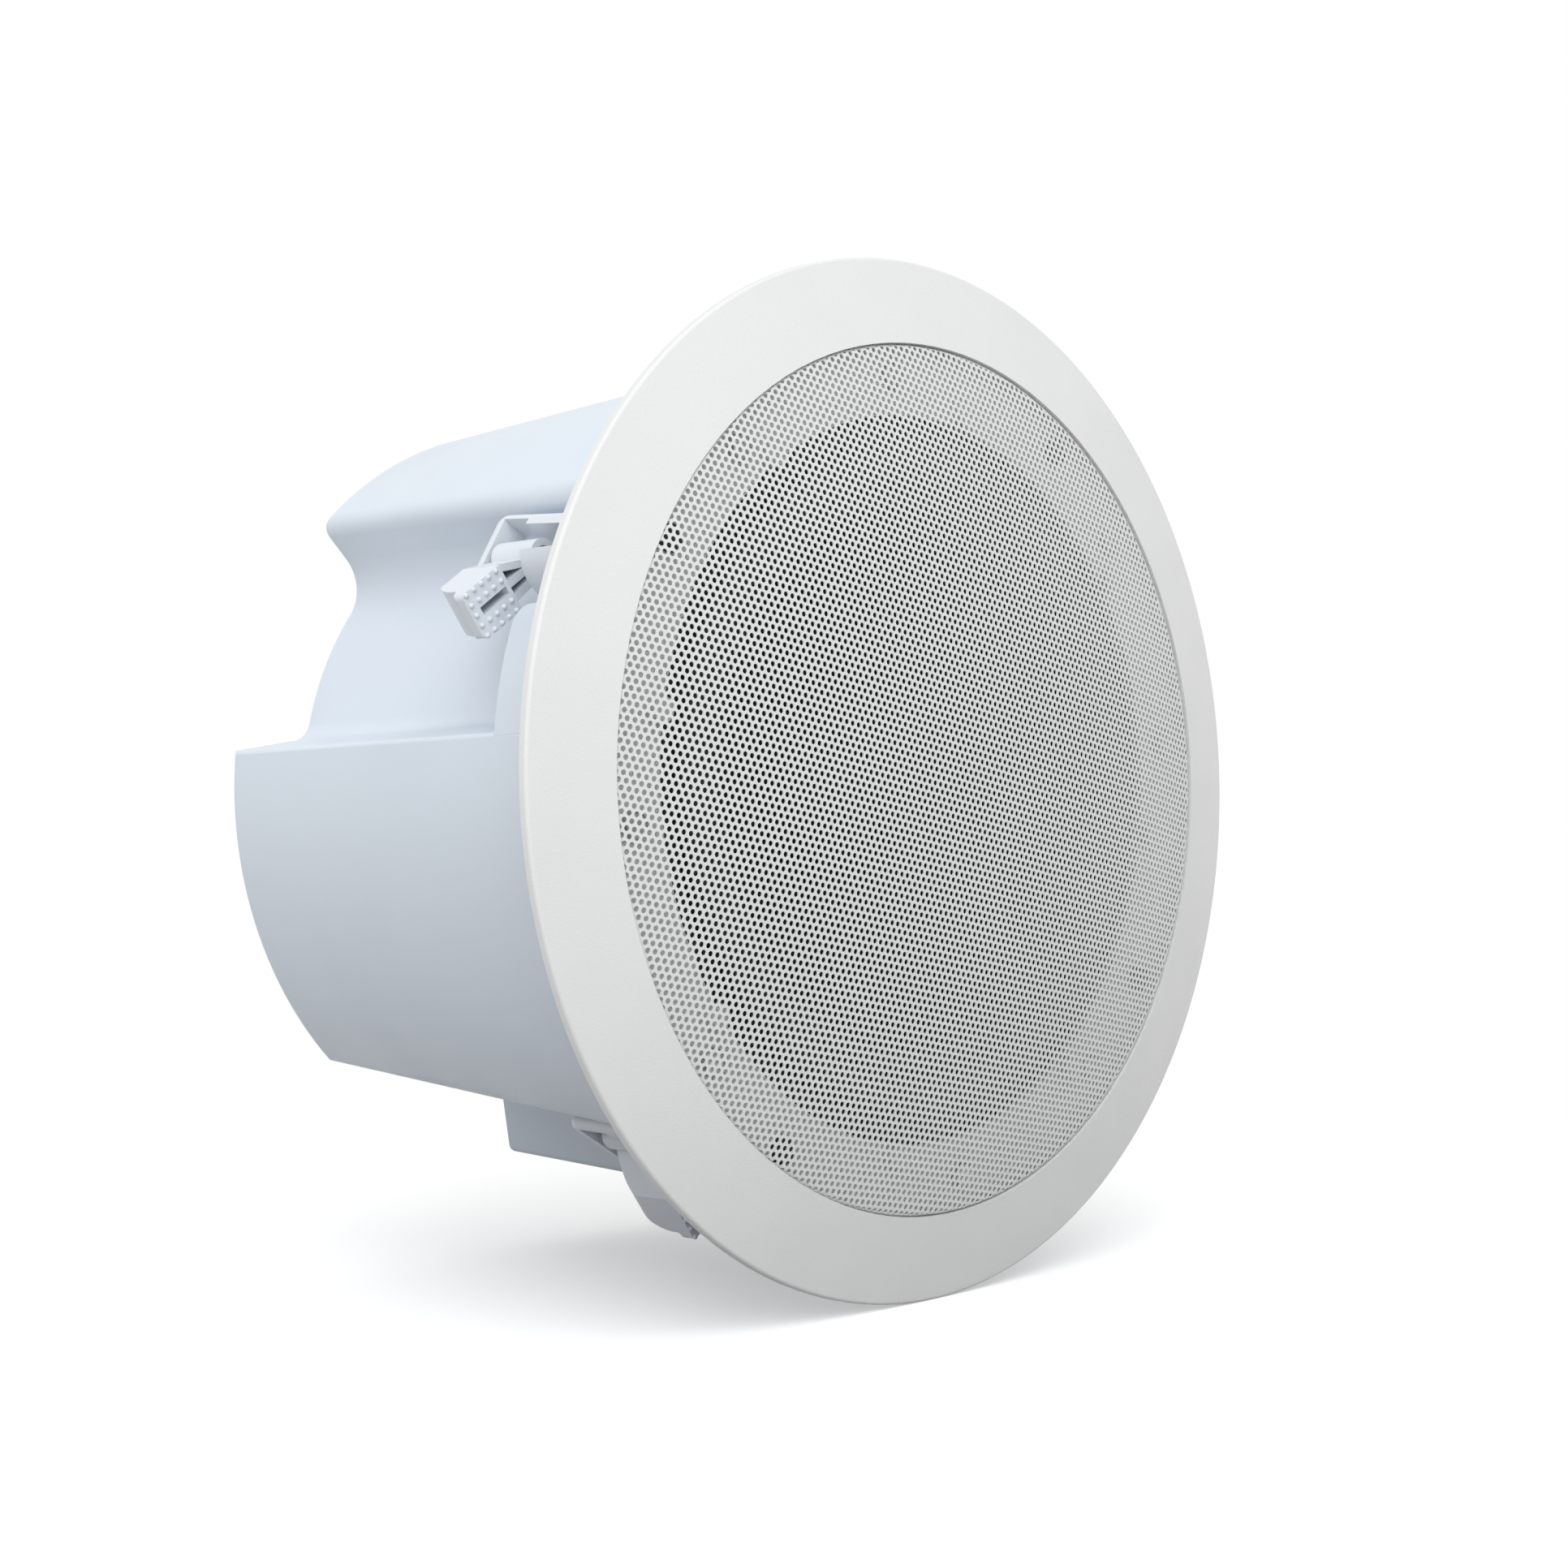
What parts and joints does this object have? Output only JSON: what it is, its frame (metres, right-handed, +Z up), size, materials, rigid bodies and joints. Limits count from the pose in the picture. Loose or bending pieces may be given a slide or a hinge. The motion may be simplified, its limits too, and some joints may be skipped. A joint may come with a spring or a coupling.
{
  "type": "in ceiling speaker",
  "caption": "Round in-ceiling loudspeaker with a domed perforated grille, a sloping white bezel, a lobed back can and swing-out clamps.",
  "frame": {"origin": "middle of the bezel's seat, the plane that lies against the ceiling board", "axes": "+Y along the speaker's axis from the grille into the ceiling void, +X to the right and +Z up as the grille is seen from the front in the picture"},
  "size_m": [0.2644, 0.1795, 0.2644],
  "materials": {
    "white_bezel": "fine grain",
    "white_grille": "satin paint",
    "white_can": "satin",
    "white_clamp": "satin",
    "black_foam": "matt",
    "zinc_screw": "zinc plated",
    "zinc_plate": "zinc plated",
    "black_steel": "satin paint",
    "black_cone": "matt pressed pulp",
    "black_rubber": "matt",
    "coil_former": "film",
    "copper_wire": "lacquered wire",
    "spider_cloth": "doped cloth",
    "ferrite": "ground",
    "tag_board": "board",
    "grey_gland": "satin"
  },
  "bodies": {
    "housing": {"bezel": "white_bezel", "grille": "white_grille", "back_can": "white_can", "can_seal": "black_foam", "can_screws": "zinc_screw", "driver_gasket": "black_foam", "driver_basket": "black_steel", "driver_screws": "zinc_screw", "surround": "black_rubber", "spider": "spider_cloth", "top_plate": "zinc_plate", "magnet": "ferrite", "yoke": "zinc_plate", "tag_strip": "tag_board", "gland_body": "grey_gland", "gland_cap": "grey_gland", "gland_nut": "grey_gland", "clamp_guide_1": "white_clamp", "clamp_guide_2": "white_clamp", "clamp_guide_3": "white_clamp", "clamp_guide_4": "white_clamp"},
    "cone_set": {"cone": "black_cone", "dust_cap": "black_cone", "coil_former": "coil_former", "coil_winding": "copper_wire"},
    "screw_1": {"clamp_screw_1": "black_steel"},
    "nut_1": {"clamp_nut_1": "zinc_screw"},
    "flag_1": {"clamp_flag_1": "white_clamp"},
    "screw_2": {"clamp_screw_2": "black_steel"},
    "nut_2": {"clamp_nut_2": "zinc_screw"},
    "flag_2": {"clamp_flag_2": "white_clamp"},
    "screw_3": {"clamp_screw_3": "black_steel"},
    "nut_3": {"clamp_nut_3": "zinc_screw"},
    "flag_3": {"clamp_flag_3": "white_clamp"},
    "screw_4": {"clamp_screw_4": "black_steel"},
    "nut_4": {"clamp_nut_4": "zinc_screw"},
    "flag_4": {"clamp_flag_4": "white_clamp"}
  },
  "joints": [
    {"name": "cone_travel", "type": "slide", "parent": "housing", "child": "cone_set", "axis": [0, 1, 0], "range_m": [-0.003, 0.003], "stiffness_N_per_m": 1500, "deforming": ["surround", "spider"]},
    {"name": "screw_turn_1", "type": "hinge", "parent": "housing", "child": "screw_1", "pos_m": [0.05538, 0.03, 0.08862], "axis": [0, 1, 0], "range_deg": [0, 720]},
    {"name": "nut_travel_1", "type": "slide", "parent": "housing", "child": "nut_1", "axis": [0, -1, 0], "range_m": [0, 0.0014]},
    {"name": "flag_swing_1", "type": "hinge", "parent": "nut_1", "child": "flag_1", "pos_m": [0.05538, 0.052, 0.08862], "axis": [0, -1, 0], "range_deg": [-67, 33]},
    {"name": "screw_turn_2", "type": "hinge", "parent": "housing", "child": "screw_2", "pos_m": [-0.08862, 0.03, 0.05538], "axis": [0, 1, 0], "range_deg": [0, 720]},
    {"name": "nut_travel_2", "type": "slide", "parent": "housing", "child": "nut_2", "axis": [0, -1, 0], "range_m": [0, 0.0014]},
    {"name": "flag_swing_2", "type": "hinge", "parent": "nut_2", "child": "flag_2", "pos_m": [-0.08862, 0.052, 0.05538], "axis": [0, -1, 0], "range_deg": [-67, 33]},
    {"name": "screw_turn_3", "type": "hinge", "parent": "housing", "child": "screw_3", "pos_m": [-0.05538, 0.03, -0.08862], "axis": [0, 1, 0], "range_deg": [0, 720]},
    {"name": "nut_travel_3", "type": "slide", "parent": "housing", "child": "nut_3", "axis": [0, -1, 0], "range_m": [0, 0.0014]},
    {"name": "flag_swing_3", "type": "hinge", "parent": "nut_3", "child": "flag_3", "pos_m": [-0.05538, 0.052, -0.08862], "axis": [0, -1, 0], "range_deg": [-67, 33]},
    {"name": "screw_turn_4", "type": "hinge", "parent": "housing", "child": "screw_4", "pos_m": [0.08862, 0.03, -0.05538], "axis": [0, 1, 0], "range_deg": [0, 720]},
    {"name": "nut_travel_4", "type": "slide", "parent": "housing", "child": "nut_4", "axis": [0, -1, 0], "range_m": [0, 0.0014]},
    {"name": "flag_swing_4", "type": "hinge", "parent": "nut_4", "child": "flag_4", "pos_m": [0.08862, 0.052, -0.05538], "axis": [0, -1, 0], "range_deg": [-67, 33]}
  ],
  "couplings": [
    {"joint": "screw_turn_1", "follows": "nut_travel_1", "rad_per_m": 8976},
    {"joint": "screw_turn_2", "follows": "nut_travel_2", "rad_per_m": 8976},
    {"joint": "screw_turn_3", "follows": "nut_travel_3", "rad_per_m": 8976},
    {"joint": "screw_turn_4", "follows": "nut_travel_4", "rad_per_m": 8976}
  ]
}
